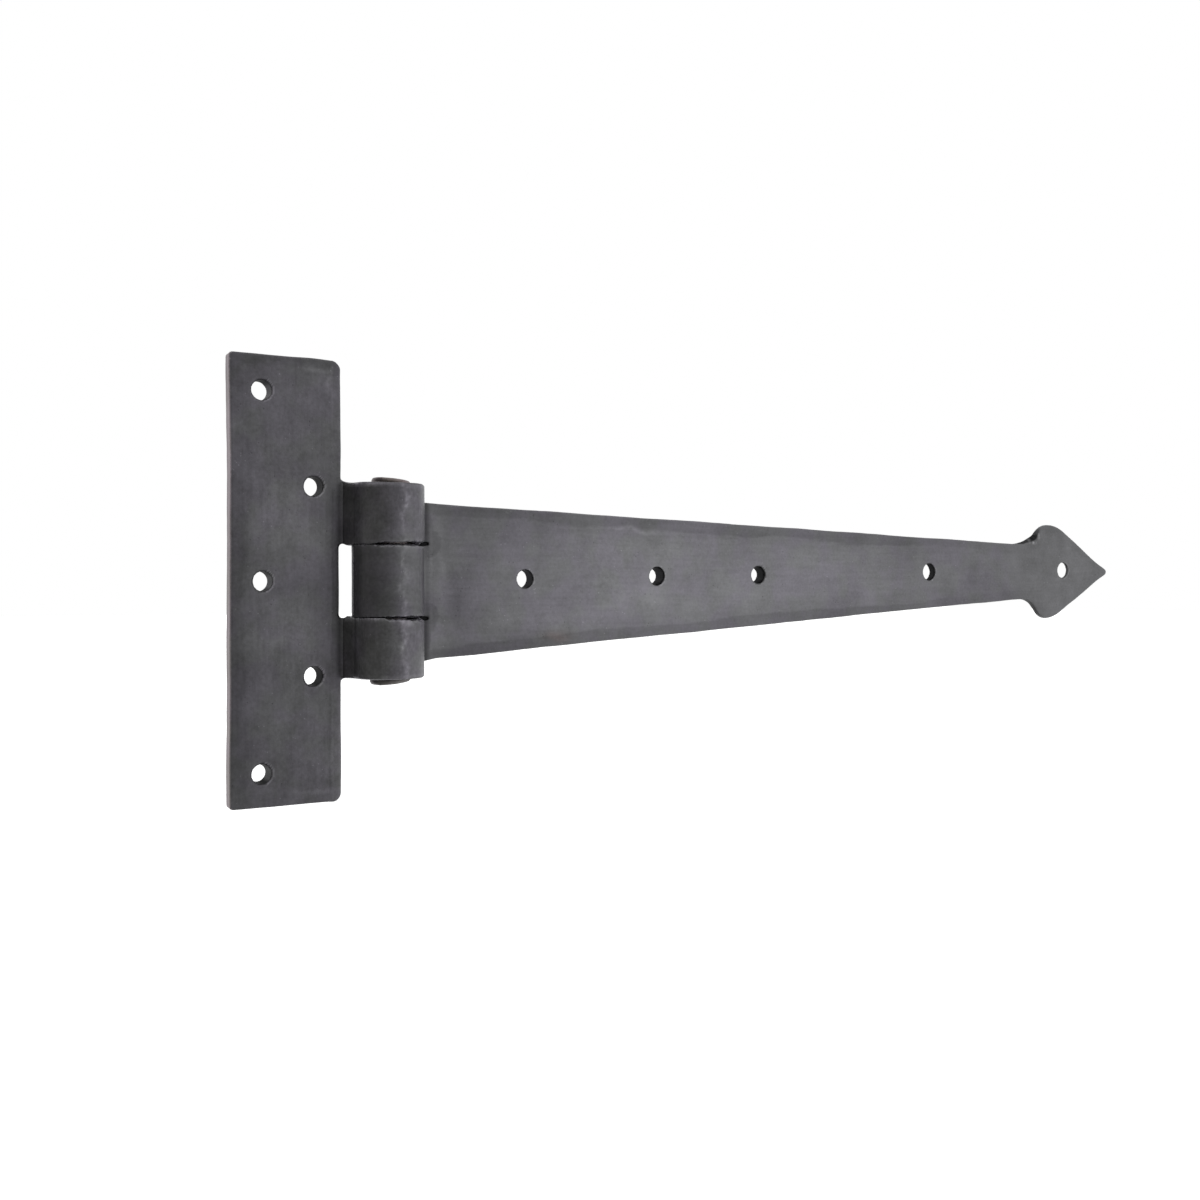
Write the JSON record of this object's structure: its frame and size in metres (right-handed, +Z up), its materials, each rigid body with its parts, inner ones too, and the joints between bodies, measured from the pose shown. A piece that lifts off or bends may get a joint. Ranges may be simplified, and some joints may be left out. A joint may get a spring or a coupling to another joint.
{
  "type": "tee hinge",
  "caption": "Forged steel tee hinge: an upright plate with rolled knuckles, a long tapered strap with a spear head, and a peened pin it swings on.",
  "frame": {"origin": "middle of the plate's back face, which lies on the frame or post", "axes": "+X along the strap from the plate to the spear head, +Y out of the back into what the hinge is fixed to, so the front with the knuckles faces -Y, +Z up along the pin"},
  "size_m": [0.3296, 0.0185, 0.1142],
  "materials": {
    "leaf_steel": "dark waxed forged steel, satin",
    "strap_steel": "dark waxed forged steel, satin",
    "pin_steel": "dark brown-black forged steel, hammered ends"
  },
  "bodies": {
    "plate": {"fixed_leaf": "leaf_steel", "hinge_pin": "pin_steel"},
    "strap": {"strap_leaf": "strap_steel"}
  },
  "joints": [
    {"name": "strap_swing", "type": "hinge", "parent": "plate", "child": "strap", "pos_m": [0.0256, -0.00923, 0], "axis": [0, 0, -1], "range_deg": [-90, 180]}
  ]
}
